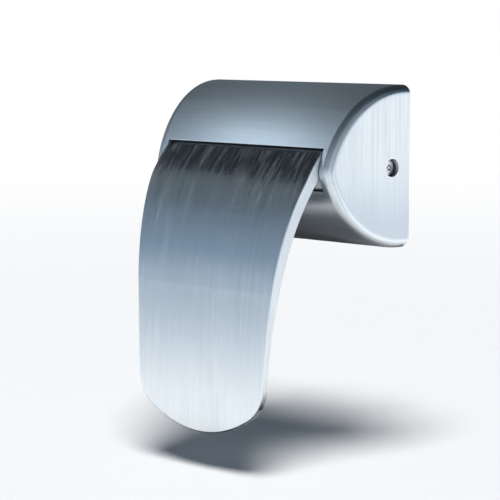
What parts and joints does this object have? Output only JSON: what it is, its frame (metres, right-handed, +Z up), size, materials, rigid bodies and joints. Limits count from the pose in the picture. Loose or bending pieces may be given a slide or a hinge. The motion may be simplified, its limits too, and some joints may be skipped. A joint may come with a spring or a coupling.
{
  "type": "ligature-resistant push paddle handle",
  "caption": "Ligature-resistant push paddle handle: arched sloped-end housing, curved tapering paddle and square lock spindle.",
  "frame": {"origin": "where the spindle's axis meets the door face, at the middle of the housing's back", "axes": "+X to the right seen from in front, +Y into the door, +Z up; the paddle faces -Y"},
  "size_m": [0.1206, 0.1265, 0.1573],
  "materials": {
    "satin_steel": "satin brushed cast stainless",
    "plated_steel": "zinc plated pressed steel",
    "spring_steel": "oiled spring wire",
    "hard_steel": "ground steel",
    "bronze": "sintered bronze",
    "rubber": "moulded rubber",
    "screw_steel": "stainless screw"
  },
  "bodies": {
    "base": {"axle_clip_left": "spring_steel", "axle_clip_right": "spring_steel", "door_screw_lower_left": "screw_steel", "door_screw_lower_right": "screw_steel", "door_screw_upper_left": "screw_steel", "door_screw_upper_right": "screw_steel", "guide_stud_lower": "plated_steel", "guide_stud_upper": "plated_steel", "housing": "satin_steel", "housing_screw_left": "satin_steel", "housing_screw_right": "satin_steel", "mounting_bracket": "plated_steel", "pivot_axle": "hard_steel", "rest_bumper_left": "rubber", "rest_bumper_right": "rubber", "return_spring_left": "spring_steel", "return_spring_right": "spring_steel"},
    "paddle_swing": {"paddle": "satin_steel", "pivot_bush_left": "bronze", "pivot_bush_right": "bronze"},
    "slide_body": {"drive_slide": "plated_steel"},
    "rotor_body": {"crank_rotor": "hard_steel", "square_spindle": "hard_steel"}
  },
  "joints": [
    {"name": "paddle_push", "type": "hinge", "parent": "base", "child": "paddle_swing", "pos_m": [0, -0.024, 0], "axis": [1, 0, 0], "range_deg": [0, 12], "stiffness_Nm_per_rad": 1.2, "springref_deg": -28.65, "deforming": ["return_spring_left", "return_spring_right"]},
    {"name": "slide_lift", "type": "slide", "parent": "base", "child": "slide_body", "axis": [0, 0, 1], "range_m": [0, 0.00362]},
    {"name": "spindle_turn", "type": "hinge", "parent": "base", "child": "rotor_body", "pos_m": [0, 0, 0], "axis": [0, -1, 0], "range_deg": [0, 32.83]}
  ],
  "couplings": [
    {"joint": "slide_lift", "follows": "paddle_push", "m_per_rad": 0.017268},
    {"joint": "spindle_turn", "follows": "paddle_push", "ratio": 2.7354}
  ]
}
